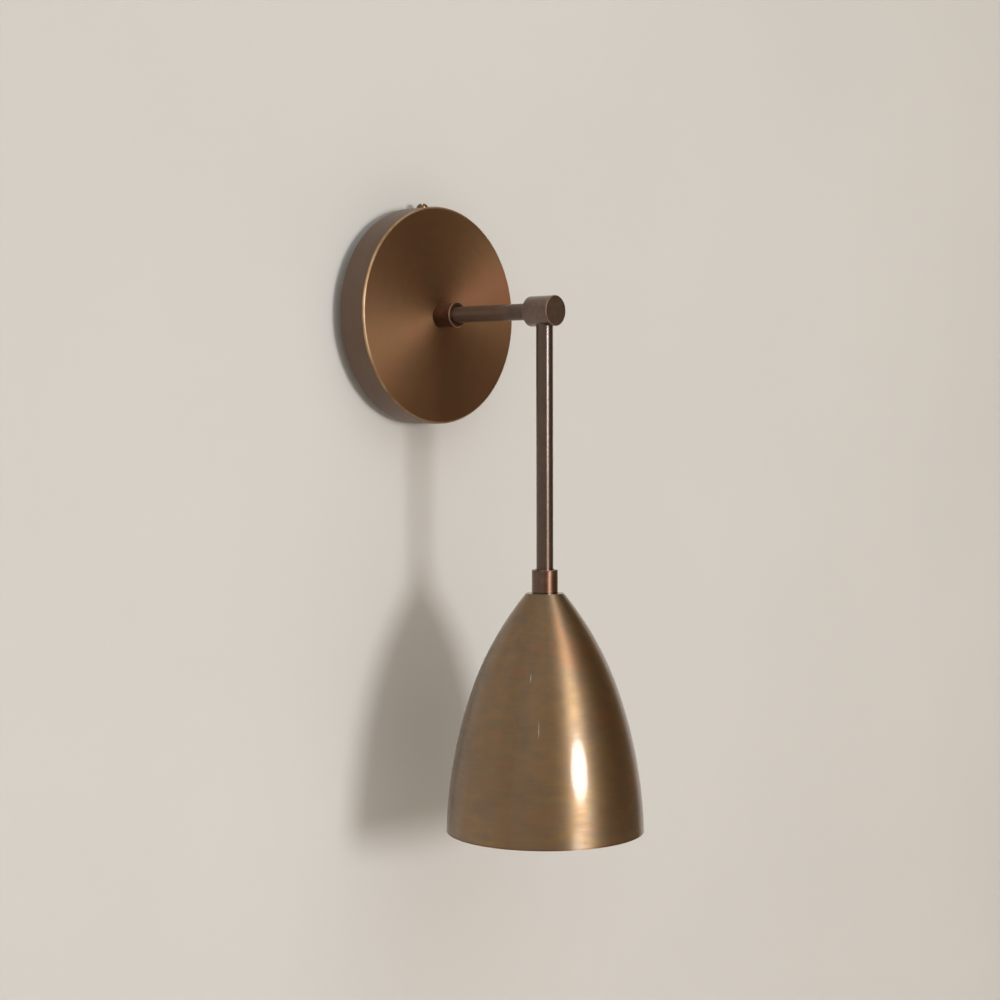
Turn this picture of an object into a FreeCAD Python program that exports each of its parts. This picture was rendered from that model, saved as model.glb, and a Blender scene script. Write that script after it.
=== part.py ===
"""Hanging pendant wall sconce: a spun cup on the wall, a straight arm, a knuckle, a drop rod and a bell shade.

Frame: millimetres, +Z up. The origin is the centre of the wall bracket's back, in line with the arm.
The wall is the plane Y = 0 and the light reaches out towards -Y; X runs along the wall.
The canopy hangs on the bracket with its open edge a little off the wall.
The drop (knuckle, rod, shade and lampholder) turns about the arm's axis, and the bulb comes out downwards.
"""
import FreeCAD
import Part
import Sketcher
import os
import re

from FreeCAD import Placement, Rotation, Vector

doc = FreeCAD.newDocument("WallSconce")

# ---------------------------------------------------------------- driving dimensions

SIZES = [
    # wall cup
    ("canopy_radius", 63.5, "outside of the cup: a 5 inch canopy"),
    ("canopy_depth", 25.5, "wall to front face"),
    ("canopy_stand_off", 6.8, "wall to the cup's open edge"),
    ("canopy_wall", 1.2, "spun brass sheet"),
    ("canopy_edge_curve", 1.5, "rounding of the front edge"),
    # tubes, the same stock for the arm and the drop rod
    ("tube_radius", 4.75, "outside of the 3/8 inch tube"),
    ("tube_wall", 1.2, "wall of the tube"),
    ("thread_gap", 0.05, "radial gap in a threaded or running bore"),
    ("hole_gap", 0.25, "radial gap of a plain clearance hole"),
    ("arm_reach", 80.0, "canopy face to the drop rod's axis"),
    ("arm_tail", 11.5, "arm tube behind the canopy face, for washer and nut"),
    ("drop_reach", 145.2, "arm axis down to the top of the shade collar"),
    ("rod_tail", 15.7, "drop rod below the shade's top, for washer, nut and lampholder"),
    # collars, one turned pattern used twice
    ("collar_radius", 7.4, "outside of a collar"),
    ("collar_length", 13.3, "length of a collar"),
    ("collar_recess_radius", 5.5, "counterbore round the tube"),
    ("collar_recess_depth", 3.0, "depth of that counterbore"),
    ("collar_chamfer", 0.4, "bevel of the open edge"),
    # knuckle
    ("knuckle_radius", 8.6, "turned cylinder in line with the arm"),
    ("knuckle_length", 18.1, "its length"),
    ("knuckle_back", 9.7, "its wall-side end, from the drop rod's axis"),
    ("knuckle_chamfer", 0.4, "bevel of both ends"),
    ("knuckle_grip", 6.3, "arm thread inside the knuckle"),
    ("knuckle_end_gap", 0.3, "space past the arm's end in its bore"),
    ("rod_top_gap", 0.45, "drop rod's top end below the arm tube"),
    ("wireway_radius", 3.4, "drilled way for the wires inside the knuckle"),
    # washers and nuts, one pattern each, used twice
    ("washer_radius", 9.0, "clamp washer"),
    ("washer_thickness", 1.2, "clamp washer"),
    ("nut_corner_radius", 8.1, "hexagon nut over its corners, 14 across flats"),
    ("nut_thickness", 4.0, "hexagon nut"),
    # shade
    ("shade_rim_radius", 56.0, "outside of the open rim"),
    ("shade_height", 134.6, "top to rim"),
    ("shade_waist_radius", 42.4, "where the two curves of the bell meet"),
    ("shade_waist_height", 76.7, "that circle above the rim"),
    ("shade_top_radius", 10.6, "flat top"),
    ("shade_lower_curve", 266.0, "curve from rim to waist"),
    ("shade_upper_curve", 180.0, "curve from waist to top"),
    ("shade_wall", 1.0, "sheet, measured level"),
    # wall bracket
    ("bracket_width", 18.0, "steel strap"),
    ("bracket_thickness", 2.0, "steel strap"),
    ("bracket_bend", 3.0, "outside of a bend"),
    ("bracket_rim_gap", 1.2, "ear to the inside of the cup"),
    ("bracket_ear_end", 4.0, "ear past the fixing axis"),
    ("fixing_depth", 10.6, "wall to the axis of the rim fixings"),
    ("wall_slot_spacing", 70.0, "between the slots for the wall screws"),
    ("wall_slot_width", 5.0, "slot for a wall screw"),
    ("wall_slot_length", 12.0, "slot for a wall screw"),
    ("cable_hole_radius", 6.5, "hole for the building's cable"),
    # rim fixings
    ("set_screw_radius", 2.0, "M4 shank"),
    ("set_screw_length", 7.0, "shank below the head"),
    ("set_screw_head_radius", 3.6, "round head"),
    ("set_screw_head_edge", 0.6, "straight edge of the head"),
    ("set_screw_head_height", 3.0, "round head"),
    ("set_screw_dome", 3.9, "curve of the round head"),
    ("set_screw_slot_width", 1.1, "driver slot"),
    ("set_screw_slot_depth", 1.3, "driver slot"),
    ("set_screw_slot_angle", 42.0, "turn of the slot, in degrees"),
    ("screw_tip_chamfer", 0.4, "bevel of a screw's tip"),
    ("pin_radius", 1.9, "locating pin"),
    ("pin_head_radius", 3.0, "riveted head of the pin"),
    ("pin_head_height", 1.0, "riveted head of the pin"),
    ("pin_set_back", 0.2, "pin's end inside the cup's surface"),
    # terminal block
    ("block_width", 20.0, "along X"),
    ("block_depth", 13.0, "away from the bracket"),
    ("block_height", 14.0, "along Z"),
    ("block_top", 12.0, "its top below the arm axis"),
    ("block_way_offset", 5.0, "a way's axis from the middle"),
    ("block_way_depth", 7.0, "a way's axis from the bracket"),
    ("block_tube_radius", 2.5, "brass tube in a way"),
    ("block_tube_bore", 1.5, "bore of the brass tube"),
    ("block_tube_inset", 1.0, "brass tube's ends inside the block"),
    ("block_screw_inset", 3.8, "clamp screws from the block's top and bottom"),
    ("clamp_screw_radius", 1.0, "clamp screw's shank"),
    ("clamp_screw_head_radius", 1.4, "clamp screw's head"),
    ("clamp_screw_head_height", 1.2, "clamp screw's head"),
    ("clamp_screw_access", 1.7, "hole in the block over a clamp screw"),
    ("wire_clearance", 0.3, "clamp screw's tip to the wire"),
    ("block_screw_radius", 1.25, "screw that holds the block"),
    ("block_screw_head_radius", 2.3, "its head"),
    ("block_screw_head_height", 1.8, "its head"),
    ("block_screw_sink", 3.0, "its counterbore"),
    # earth terminal
    ("earth_height", 18.0, "above the arm axis"),
    ("earth_screw_radius", 2.0, "M4 shank"),
    ("earth_head_radius", 3.6, "cheese head"),
    ("earth_head_height", 2.2, "cheese head"),
    ("earth_slot_width", 1.0, "driver slot"),
    ("earth_slot_depth", 1.1, "driver slot"),
    ("earth_washer_radius", 4.6, "washer under the head"),
    ("earth_washer_thickness", 0.8, "washer under the head"),
    ("screw_end_inset", 0.3, "screw ends in front of the wall plane"),
    # wires
    ("wire_radius", 0.9, "insulated wire"),
    ("wire_offset", 1.1, "wire's axis from the tube's axis"),
    ("wire_lap", 2.0, "drop wires start this far inside the arm's end"),
    ("wire_end_gap", 0.2, "between the arm's wires and the drop's"),
    ("wire_bend_room", 1.0, "a wire's corner beyond the edge it goes round"),
    ("post_wire_rise", 1.5, "a wire's corner above its post"),
    # lampholder
    ("holder_gap", 1.0, "nut to lampholder"),
    ("holder_neck_radius", 7.2, "cap's threaded neck"),
    ("holder_neck_length", 7.5, "cap's threaded neck"),
    ("holder_radius", 19.5, "cap and bead"),
    ("holder_dome_height", 13.0, "cap's dome"),
    ("holder_dome_curve", 13.0, "curve of the dome"),
    ("holder_cap_skirt", 6.0, "straight part of the cap"),
    ("holder_wall", 1.0, "sheet of cap and body"),
    ("holder_fit", 0.1, "between nested lampholder pieces"),
    ("body_lap", 5.0, "body inside the cap"),
    ("body_bead", 2.5, "bead under the cap"),
    ("body_length", 31.0, "body below the cap"),
    ("body_lip", 1.2, "thickness of the lip that holds the insulator"),
    ("body_mouth_radius", 15.2, "opening in that lip"),
    ("insulator_rise", 4.5, "insulator's top above the cap's edge"),
    ("insulator_floor", 5.5, "thickness of the insulator's disc"),
    ("insulator_bore", 14.5, "inside of the insulator's ring"),
    ("shell_radius", 14.2, "outside of the screw shell"),
    ("shell_wall", 0.6, "sheet of the screw shell"),
    ("shell_length", 24.0, "length of the screw shell"),
    ("shell_floor_hole", 8.0, "hole in the shell's floor"),
    ("tongue_width", 5.0, "centre contact"),
    ("tongue_thickness", 0.5, "centre contact"),
    ("tongue_reach", 6.0, "centre contact, each side of the axis"),
    ("tongue_drop", 2.7, "centre contact's tip below the insulator"),
    ("post_offset", 9.0, "terminal posts from the axis"),
    ("post_radius", 2.6, "terminal post"),
    ("post_height", 6.0, "terminal post"),
    ("post_bore", 1.1, "wire hole in a post"),
    ("post_bore_depth", 4.5, "wire hole in a post"),
    ("post_screw_drop", 2.5, "post screw below the post's top"),
    ("post_screw_radius", 1.0, "post screw's shank"),
    ("post_screw_head_radius", 1.8, "post screw's head"),
    ("post_screw_head_height", 1.5, "post screw's head"),
    # bulb
    ("bulb_gap", 0.3, "centre contact to bulb"),
    ("bulb_contact_radius", 4.6, "solder contact"),
    ("bulb_contact_height", 0.9, "solder contact"),
    ("bulb_shoulder_radius", 5.5, "narrow end of the cap's insulator"),
    ("bulb_shoulder_height", 3.2, "cone of the cap's insulator"),
    ("bulb_insulator_skirt", 1.0, "insulator inside the cap"),
    ("bulb_cap_radius", 13.1, "outside of the screw cap"),
    ("bulb_cap_wall", 0.5, "sheet of the screw cap"),
    ("bulb_cap_length", 22.4, "length of the screw cap"),
    ("bulb_radius", 22.5, "glass ball"),
    ("bulb_drop", 26.0, "ball's centre below the cap"),
    ("bulb_neck_radius", 12.4, "glass neck"),
    ("bulb_neck_curve", 14.0, "curve between neck and ball"),
    ("bulb_neck_lap", 4.0, "glass inside the cap"),
    ("bulb_glass_wall", 1.0, "glass"),
    ("stem_flare_radius", 11.2, "glass stem's flare"),
    ("stem_flare_height", 1.2, "glass stem's flare"),
    ("stem_foot_radius", 3.0, "glass stem below the flare"),
    ("stem_foot_depth", 8.0, "glass stem below the flare"),
    ("stem_disc_radius", 7.0, "discs that hold the filaments"),
    ("stem_disc_height", 1.0, "discs that hold the filaments"),
    ("stem_rod_radius", 1.2, "rod between the discs"),
    ("stem_length", 17.0, "flare to upper disc"),
    ("filament_length", 20.0, "between the discs"),
    ("filament_radius", 0.8, "filament strip"),
    ("filament_offset", 5.4, "filaments from the axis"),
]
FILAMENTS = 4  # filament strips round the bulb's stem

sheet = doc.addObject("Spreadsheet::Sheet", "Sizes")
for row, (alias, size, note) in enumerate(SIZES, 1):
    sheet.set(f"A{row}", alias)
    sheet.set(f"B{row}", str(size))
    sheet.set(f"C{row}", note)
    sheet.setAlias(f"B{row}", alias)
doc.recompute()

ALIASES = re.compile(r"\b(" + "|".join(alias for alias, size, note in SIZES) + r")\b")


def linked(expression):
    """The expression as objects outside the sheet write it, with each size named as Sizes.size."""
    return ALIASES.sub(r"Sizes.\1", expression)


def value(expression):
    """The expression's value now, in millimetres."""
    return float(doc.Sizes.evalExpression(expression))


# places that several pieces share, worked out from the driving dimensions
AXIS_Y = "-(canopy_depth + arm_reach)"  # drop rod's axis
CANOPY_INSIDE = "(canopy_depth - canopy_wall)"  # cup's front sheet, from the wall
TUBE_BORE = "(tube_radius - tube_wall)"
THREAD = "(tube_radius + thread_gap)"  # bore threaded onto a tube
TUBE_HOLE = "(tube_radius + hole_gap)"  # plain hole round a tube
SHADE_TOP = "(drop_reach + collar_length)"  # below the arm axis
EAR_TOP = "(canopy_radius - canopy_wall - bracket_rim_gap)"
HOLDER_TOP = f"({SHADE_TOP} + shade_wall + washer_thickness + nut_thickness + holder_gap)"
CAP_LENGTH = "(holder_neck_length + holder_dome_height + holder_cap_skirt)"
CAP_EDGE = f"({HOLDER_TOP} + {CAP_LENGTH})"
INSULATOR_TOP = f"({CAP_EDGE} - insulator_rise)"
INSULATOR_FACE = f"({INSULATOR_TOP} + insulator_floor)"
BULB_TOP = f"({INSULATOR_FACE} + tongue_drop + bulb_gap)"
BULB_CAP_TOP = f"({BULB_TOP} + bulb_contact_height + bulb_shoulder_height)"
BULB_CAP_EDGE = f"({BULB_CAP_TOP} + bulb_cap_length)"
BULB_CENTRE = f"({BULB_CAP_EDGE} + bulb_drop)"

# ---------------------------------------------------------------- building helpers

DIRECTIONS = {
    "up": Rotation(),
    "down": Rotation(Vector(1, 0, 0), 180),
    "out": Rotation(Vector(1, 0, 0), 90),  # away from the wall
}
sub_parts = []


def node(piece, label):
    """Makes an object of the document a sub-part of its own, under this name."""
    piece.Label = label
    sub_parts.append(piece)
    return piece


def place(piece, direction="up", x="0", y="0", z="0"):
    """Turns the piece's own +Z to a direction and binds its place to the sheet."""
    piece.Placement = Placement(Vector(value(x), value(y), value(z)), DIRECTIONS[direction])
    for axis, expression in (("x", x), ("y", y), ("z", z)):
        if expression != "0":
            piece.setExpression(f"Placement.Base.{axis}", linked(expression))
    return piece


def arc_between(start, end, radius, side):
    """The short arc of this radius from start to end, with its centre on the left or right of the way."""
    chord = end - start
    half = chord.Length / 2
    rise = (radius * radius - half * half) ** 0.5
    to_left = Vector(-chord.y, chord.x, 0).normalize()
    centre = (start + end) / 2 + to_left * (rise if side == "left" else -rise)
    middle = centre + ((start + end) / 2 - centre).normalize() * radius
    return Part.ArcOfCircle(start, middle, end)


def outline(body, role, corners, arcs=()):
    """A sketch of a closed outline on the body's plane of this role.

    Corners are pairs of expressions. Arcs gives, for the edge that leaves a corner, its radius and side.
    """
    sketch = body.newObject("Sketcher::SketchObject", body.Name + "_sketch")
    plane = [item for item in body.Origin.OriginFeatures if item.Role == role][0]
    sketch.AttachmentSupport = (plane, "")
    sketch.MapMode = "FlatFace"
    arcs = dict(arcs)
    points = [Vector(value(x), value(y), 0) for x, y in corners]
    starts = []
    ends = []
    for number, start in enumerate(points):
        end = points[(number + 1) % len(points)]
        if number not in arcs:
            sketch.addGeometry(Part.LineSegment(start, end))
            clockwise = False
        else:
            radius, side = arcs[number]
            sketch.addGeometry(arc_between(start, end, value(radius), side))
            clockwise = side == "right"
        starts.append((number, 2 if clockwise else 1))
        ends.append((number, 1 if clockwise else 2))
    for number, end in enumerate(ends):
        sketch.addConstraint(Sketcher.Constraint("Coincident", *end, *starts[(number + 1) % len(points)]))
    for corner, point, start in zip(corners, points, starts):
        for kind, expression, distance, axis in (
            ("DistanceX", corner[0], point.x, -2),
            ("DistanceY", corner[1], point.y, -1),
        ):
            if expression == "0":
                sketch.addConstraint(Sketcher.Constraint("PointOnObject", *start, axis))
            else:
                bound = sketch.addConstraint(Sketcher.Constraint(kind, -1, 1, *start, distance))
                sketch.setExpression(f"Constraints[{bound}]", linked(expression))
    for number, (radius, side) in arcs.items():
        bound = sketch.addConstraint(Sketcher.Constraint("Radius", number, value(radius)))
        sketch.setExpression(f"Constraints[{bound}]", linked(radius))
    return sketch


def turned(name, corners, arcs=()):
    """A piece made on a lathe: its half section, as (radius, length) corners, turned round its own Z."""
    body = doc.addObject("PartDesign::Body", name)
    sketch = outline(body, "XZ_Plane", corners, arcs)
    turn = body.newObject("PartDesign::Revolution", name + "_turn")
    turn.Profile = sketch
    turn.ReferenceAxis = (sketch, ["V_Axis"])
    turn.Angle = 360
    return body


def bent_strip(name, corners, arcs, width, role="YZ_Plane"):
    """A strip whose side view is the outline, padded evenly to both sides of the plane."""
    body = doc.addObject("PartDesign::Body", name)
    pad = body.newObject("PartDesign::Pad", name + "_pad")
    pad.Profile = outline(body, role, corners, arcs)
    pad.SideType = "Symmetric"
    pad.setExpression("Length", linked(width))
    body.Tip = pad
    return body


def cylinder(name, radius, height, direction="up", x="0", y="0", z="0"):
    piece = doc.addObject("Part::Cylinder", name)
    piece.setExpression("Radius", linked(radius))
    piece.setExpression("Height", linked(height))
    return place(piece, direction, x, y, z)


def box(name, length, width, height, x, y, z):
    """A box from its lowest corner, sized along X, Y and Z."""
    piece = doc.addObject("Part::Box", name)
    for side, expression in (("Length", length), ("Width", width), ("Height", height)):
        piece.setExpression(side, linked(expression))
    return place(piece, "up", x, y, z)


def cut(name, base, tools):
    """The base without the tools, which are holes, slots and recesses."""
    for number, tool in enumerate(tools, 1):
        piece = doc.addObject("Part::Cut", f"{name}_cut_{number}")
        piece.Base = base
        piece.Tool = tool
        base = piece
    return base


def group(name, pieces):
    """Identical pieces that share one node, each a separate solid."""
    piece = doc.addObject("Part::Compound", name)
    piece.Links = pieces
    return piece


def screw(name, shank_radius, shank_length, head_radius, head_height, direction, x, y, z):
    """A plain screw, its tip at the given place and its head at the far end."""
    body = turned(
        name,
        [
            ("0", "0"),
            (f"{shank_radius} - screw_tip_chamfer", "0"),
            (shank_radius, "screw_tip_chamfer"),
            (shank_radius, shank_length),
            (head_radius, shank_length),
            (head_radius, f"{shank_length} + {head_height}"),
            ("0", f"{shank_length} + {head_height}"),
        ],
    )
    return place(body, direction, x, y, z)


def wire(name, route, share=0.45):
    """A round wire along straight runs joined by tangent arcs, each as large as its two runs allow."""
    points = [Vector(*(value(part) for part in point)) for point in route]
    edges = []
    here = points[0]
    for before, corner, after in zip(points, points[1:], points[2:]):
        back = (before - corner).normalize()
        ahead = (after - corner).normalize()
        shorter = min((before - corner).Length, (after - corner).Length)
        start = corner + back * (share * shorter)
        end = corner + ahead * (share * shorter)
        half_turn = (back + ahead).Length / 2
        # the arc's radius is its tangent length times the tangent of half the angle between the runs
        radius = share * shorter * ((1 - half_turn**2) ** 0.5) / half_turn
        centre = corner + (back + ahead).normalize() * ((share * shorter) ** 2 + radius**2) ** 0.5
        middle = centre + (corner - centre).normalize() * radius
        edges += [Part.LineSegment(here, start).toShape(), Part.Arc(start, middle, end).toShape()]
        here = end
    edges.append(Part.LineSegment(here, points[-1]).toShape())
    path = Part.Wire(edges)
    circle = Part.Circle(points[0], points[1] - points[0], value("wire_radius")).toShape()
    piece = doc.addObject("Part::Feature", name)
    piece.Shape = path.makePipeShell([Part.Wire([circle])], True, False)
    piece.Placement = Placement()
    return piece


# ---------------------------------------------------------------- wall side


def wall_bracket():
    """Steel strap against the wall, bent forward into an ear at the top and at the bottom."""
    ear = "(fixing_depth + bracket_ear_end)"
    inner_bend = "(bracket_bend - bracket_thickness)"
    strap = bent_strip(
        "bracket_strap",
        [
            (ear, f"2 * {EAR_TOP}"),
            ("bracket_bend", f"2 * {EAR_TOP}"),
            ("0", f"2 * {EAR_TOP} - bracket_bend"),
            ("0", "bracket_bend"),
            ("bracket_bend", "0"),
            (ear, "0"),
            (ear, "bracket_thickness"),
            ("bracket_bend", "bracket_thickness"),
            ("bracket_thickness", "bracket_bend"),
            ("bracket_thickness", f"2 * {EAR_TOP} - bracket_bend"),
            ("bracket_bend", f"2 * {EAR_TOP} - bracket_thickness"),
            (ear, f"2 * {EAR_TOP} - bracket_thickness"),
        ],
        {
            1: ("bracket_bend", "left"),
            3: ("bracket_bend", "left"),
            7: (inner_bend, "right"),
            9: (inner_bend, "right"),
        },
        "bracket_width",
    )
    # the outline is drawn towards +Y from its lower ear, so half a turn about Z faces it away from the wall
    strap.Placement = Placement(Vector(0, 0, -value(EAR_TOP)), Rotation(Vector(0, 0, 1), 180))
    strap.setExpression("Placement.Base.z", linked(f"-{EAR_TOP}"))
    through = "3 * bracket_thickness"
    holes = [
        cylinder("cable_hole", "cable_hole_radius", through, "out", y="bracket_thickness"),
        cylinder("earth_hole", "earth_screw_radius + thread_gap", through, "out", y="bracket_thickness",
                 z="earth_height"),
        cylinder("block_hole", "block_screw_radius + thread_gap", through, "out", y="bracket_thickness",
                 z="-(block_top + block_height / 2)"),
        cylinder("set_screw_hole", "set_screw_radius + thread_gap", through, "up", y="-fixing_depth",
                 z=f"{EAR_TOP} - 2 * bracket_thickness"),
        cylinder("pin_hole", "pin_radius + thread_gap", through, "down", y="-fixing_depth",
                 z=f"2 * bracket_thickness - {EAR_TOP}"),
    ]
    straight = "(wall_slot_length - wall_slot_width)"
    for side, name in ((1, "upper"), (-1, "lower")):
        middle = f"{side} * wall_slot_spacing / 2"
        holes.append(box(f"{name}_slot", "wall_slot_width", through, straight, "-wall_slot_width / 2",
                         "-2 * bracket_thickness", f"{middle} - {straight} / 2"))
        for end in (1, -1):
            holes.append(cylinder(f"{name}_slot_end", "wall_slot_width / 2", through, "out",
                                  y="bracket_thickness", z=f"{middle} + {end} * {straight} / 2"))
    node(cut("bracket", strap, holes), "wall_bracket")


def bracket_pin():
    """Pin riveted in the lower ear; the cup's lower hole drops over it."""
    length = f"(canopy_radius - pin_set_back - {EAR_TOP} + bracket_thickness)"
    body = turned(
        "pin",
        [
            ("0", "0"),
            ("pin_radius - screw_tip_chamfer", "0"),
            ("pin_radius", "screw_tip_chamfer"),
            ("pin_radius", length),
            ("pin_head_radius", length),
            ("pin_head_radius", f"{length} + pin_head_height"),
            ("0", f"{length} + pin_head_height"),
        ],
    )
    node(place(body, "up", y="-fixing_depth", z="pin_set_back - canopy_radius"), "bracket_pin")


def canopy():
    """Spun cup with a rounded front edge, a hole for the arm and a hole for each rim fixing."""
    cup = turned(
        "cup",
        [
            ("canopy_radius - canopy_wall", "canopy_stand_off"),
            ("canopy_radius", "canopy_stand_off"),
            ("canopy_radius", "canopy_depth - canopy_edge_curve"),
            ("canopy_radius - canopy_edge_curve", "canopy_depth"),
            (TUBE_HOLE, "canopy_depth"),
            (TUBE_HOLE, CANOPY_INSIDE),
            ("canopy_radius - canopy_wall", CANOPY_INSIDE),
        ],
        {2: ("canopy_edge_curve", "left")},
    )
    place(cup, "out")
    reach = "3 * canopy_wall"
    holes = [
        cylinder("set_screw_way", "set_screw_radius + hole_gap", reach, "up", y="-fixing_depth",
                 z="canopy_radius - 2 * canopy_wall"),
        cylinder("pin_way", "pin_radius + hole_gap", reach, "down", y="-fixing_depth",
                 z="2 * canopy_wall - canopy_radius"),
    ]
    node(cut("canopy_cup", cup, holes), "canopy")


def canopy_set_screw():
    """Slotted round-head screw through the top of the rim into the upper ear."""
    body = turned(
        "set_screw",
        [
            ("0", "0"),
            ("set_screw_radius - screw_tip_chamfer", "0"),
            ("set_screw_radius", "screw_tip_chamfer"),
            ("set_screw_radius", "set_screw_length"),
            ("set_screw_head_radius", "set_screw_length"),
            ("set_screw_head_radius", "set_screw_length + set_screw_head_edge"),
            ("0", "set_screw_length + set_screw_head_height"),
        ],
        {5: ("set_screw_dome", "left")},
    )
    place(body, "up", y="-fixing_depth", z="canopy_radius - set_screw_length")
    slot = box("set_screw_slot", "4 * set_screw_head_radius", "set_screw_slot_width", "set_screw_head_height",
               "0", "0", "0")
    # the slot lies across the head, turned about the screw's axis
    turn = "(set_screw_slot_angle * 1deg)"
    along = "2 * set_screw_head_radius"
    across = "set_screw_slot_width / 2"
    corner_x = f"-{along} * cos{turn} + {across} * sin{turn}"
    corner_y = f"-{along} * sin{turn} - {across} * cos{turn} - fixing_depth"
    bottom = "canopy_radius + set_screw_head_height - set_screw_slot_depth"
    slot.Placement = Placement(Vector(0, 0, 0), Rotation(Vector(0, 0, 1), value("set_screw_slot_angle")))
    for axis, expression in (("x", corner_x), ("y", corner_y), ("z", bottom)):
        slot.setExpression(f"Placement.Base.{axis}", linked(expression))
    slot.setExpression("Placement.Rotation.Angle", linked("set_screw_slot_angle"))
    node(cut("set_screw_head", body, [slot]), "canopy_set_screw")


def arm_and_rod():
    """The two straight tubes."""
    arm = turned(
        "arm",
        [
            (TUBE_BORE, "0"),
            ("tube_radius", "0"),
            ("tube_radius", "arm_tail + arm_reach - knuckle_back + knuckle_grip"),
            (TUBE_BORE, "arm_tail + arm_reach - knuckle_back + knuckle_grip"),
        ],
    )
    node(place(arm, "out", y="arm_tail - canopy_depth"), "arm_tube")
    length = f"{SHADE_TOP} + rod_tail - tube_radius - rod_top_gap"
    rod = turned("rod", [(TUBE_BORE, "0"), ("tube_radius", "0"), ("tube_radius", length), (TUBE_BORE, length)])
    node(place(rod, "down", y=AXIS_Y, z="-(tube_radius + rod_top_gap)"), "drop_rod")


def collar(name, direction, **where):
    """Turned collar threaded on a tube, seated at its own z = 0 and open at its far end."""
    seat = "collar_length - collar_recess_depth"
    body = turned(
        name + "_turned",
        [
            (THREAD, "0"),
            ("collar_radius", "0"),
            ("collar_radius", "collar_length - collar_chamfer"),
            ("collar_radius - collar_chamfer", "collar_length"),
            ("collar_recess_radius", "collar_length"),
            ("collar_recess_radius", seat),
            (THREAD, seat),
        ],
    )
    node(place(body, direction, **where), name)


def washer(name, direction, **where):
    """Flat clamp washer."""
    body = turned(
        name + "_turned",
        [
            (TUBE_HOLE, "0"),
            ("washer_radius", "0"),
            ("washer_radius", "washer_thickness"),
            (TUBE_HOLE, "washer_thickness"),
        ],
    )
    node(place(body, direction, **where), name)


def nut(name, direction, **where):
    """Hexagon nut threaded on a tube."""
    prism = doc.addObject("Part::Prism", name + "_hexagon")
    prism.Polygon = 6
    prism.setExpression("Circumradius", linked("nut_corner_radius"))
    prism.setExpression("Height", linked("nut_thickness"))
    place(prism, direction, **where)
    bore = cylinder(name + "_bore", THREAD, "nut_thickness", direction, **where)
    node(cut(name, prism, [bore]), name)


def terminal_block():
    """Two-way block screwed to the bracket: supply from below, the light's own wires from above."""
    middle_z = "-(block_top + block_height / 2)"
    way_y = "-(bracket_thickness + block_way_depth)"
    face_y = "-(bracket_thickness + block_depth)"
    block = box("block", "block_width", "block_depth", "block_height", "-block_width / 2", face_y,
                "-(block_top + block_height)")
    inner_tube = "block_height - 2 * block_tube_inset"
    shank = "(block_depth - block_way_depth - wire_radius - wire_clearance - block_tube_inset" \
            " - clamp_screw_head_height)"
    holes = [
        cylinder("block_screw_way", "block_screw_radius + hole_gap", "block_depth", "out",
                 y="-bracket_thickness", z=middle_z),
        cylinder("block_screw_recess", "block_screw_head_radius + hole_gap", "block_screw_sink", "out",
                 y=f"{face_y} + block_screw_sink", z=middle_z),
    ]
    tubes = []
    screws = []
    for side, name in ((-1, "live"), (1, "neutral")):
        x = f"{side} * block_way_offset"
        holes.append(cylinder(f"{name}_way", "block_tube_radius + thread_gap", "block_height", "up", x=x, y=way_y,
                              z="-(block_top + block_height)"))
        tube = cylinder(f"{name}_tube", "block_tube_radius", inner_tube, "up", x=x, y=way_y,
                        z="block_tube_inset - (block_top + block_height)")
        bore = cylinder(f"{name}_tube_bore", "block_tube_bore", inner_tube, "up", x=x, y=way_y,
                        z="block_tube_inset - (block_top + block_height)")
        taps = [bore]
        for end, z in (("top", "-(block_top + block_screw_inset)"),
                       ("bottom", "block_screw_inset - (block_top + block_height)")):
            holes.append(cylinder(f"{name}_{end}_access", "clamp_screw_access", "block_depth - block_way_depth",
                                  "out", x=x, y=way_y, z=z))
            taps.append(cylinder(f"{name}_{end}_tap", "clamp_screw_radius + thread_gap", "2 * block_tube_radius",
                                 "out", x=x, y=way_y, z=z))
            screws.append(screw(f"{name}_{end}_screw", "clamp_screw_radius", shank, "clamp_screw_head_radius",
                                "clamp_screw_head_height", "out", x, f"{way_y} - wire_radius - wire_clearance", z))
        tubes.append(cut(f"{name}_tapped_tube", tube, taps))
    node(cut("block_body", block, holes), "terminal_block")
    node(group("block_tubes", tubes), "terminal_block_tubes")
    node(group("block_clamp_screws", screws), "terminal_block_screws")
    fixing = screw("block_fixing", "block_screw_radius",
                   "bracket_thickness + block_depth - block_screw_sink - screw_end_inset",
                   "block_screw_head_radius", "block_screw_head_height", "out", "0", "-screw_end_inset", middle_z)
    node(fixing, "terminal_block_fixing")


def earth_terminal():
    """Slotted screw and washer on the bracket for the building's earth wire."""
    under_head = "bracket_thickness + earth_washer_thickness - screw_end_inset"
    body = screw("earth", "earth_screw_radius", f"({under_head})", "earth_head_radius", "earth_head_height",
                 "out", "0", "-screw_end_inset", "earth_height")
    top = "(bracket_thickness + earth_washer_thickness + earth_head_height)"
    slot = box("earth_slot", "2 * earth_head_radius", "earth_head_height", "earth_slot_width",
               "-earth_head_radius", f"earth_slot_depth - {top} - earth_head_height",
               "earth_height - earth_slot_width / 2")
    node(cut("earth_slotted", body, [slot]), "earth_screw")
    ring = turned(
        "earth_ring",
        [
            ("earth_screw_radius + hole_gap", "0"),
            ("earth_washer_radius", "0"),
            ("earth_washer_radius", "earth_washer_thickness"),
            ("earth_screw_radius + hole_gap", "earth_washer_thickness"),
        ],
    )
    node(place(ring, "out", y="-bracket_thickness", z="earth_height"), "earth_washer")


# ---------------------------------------------------------------- drop


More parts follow.
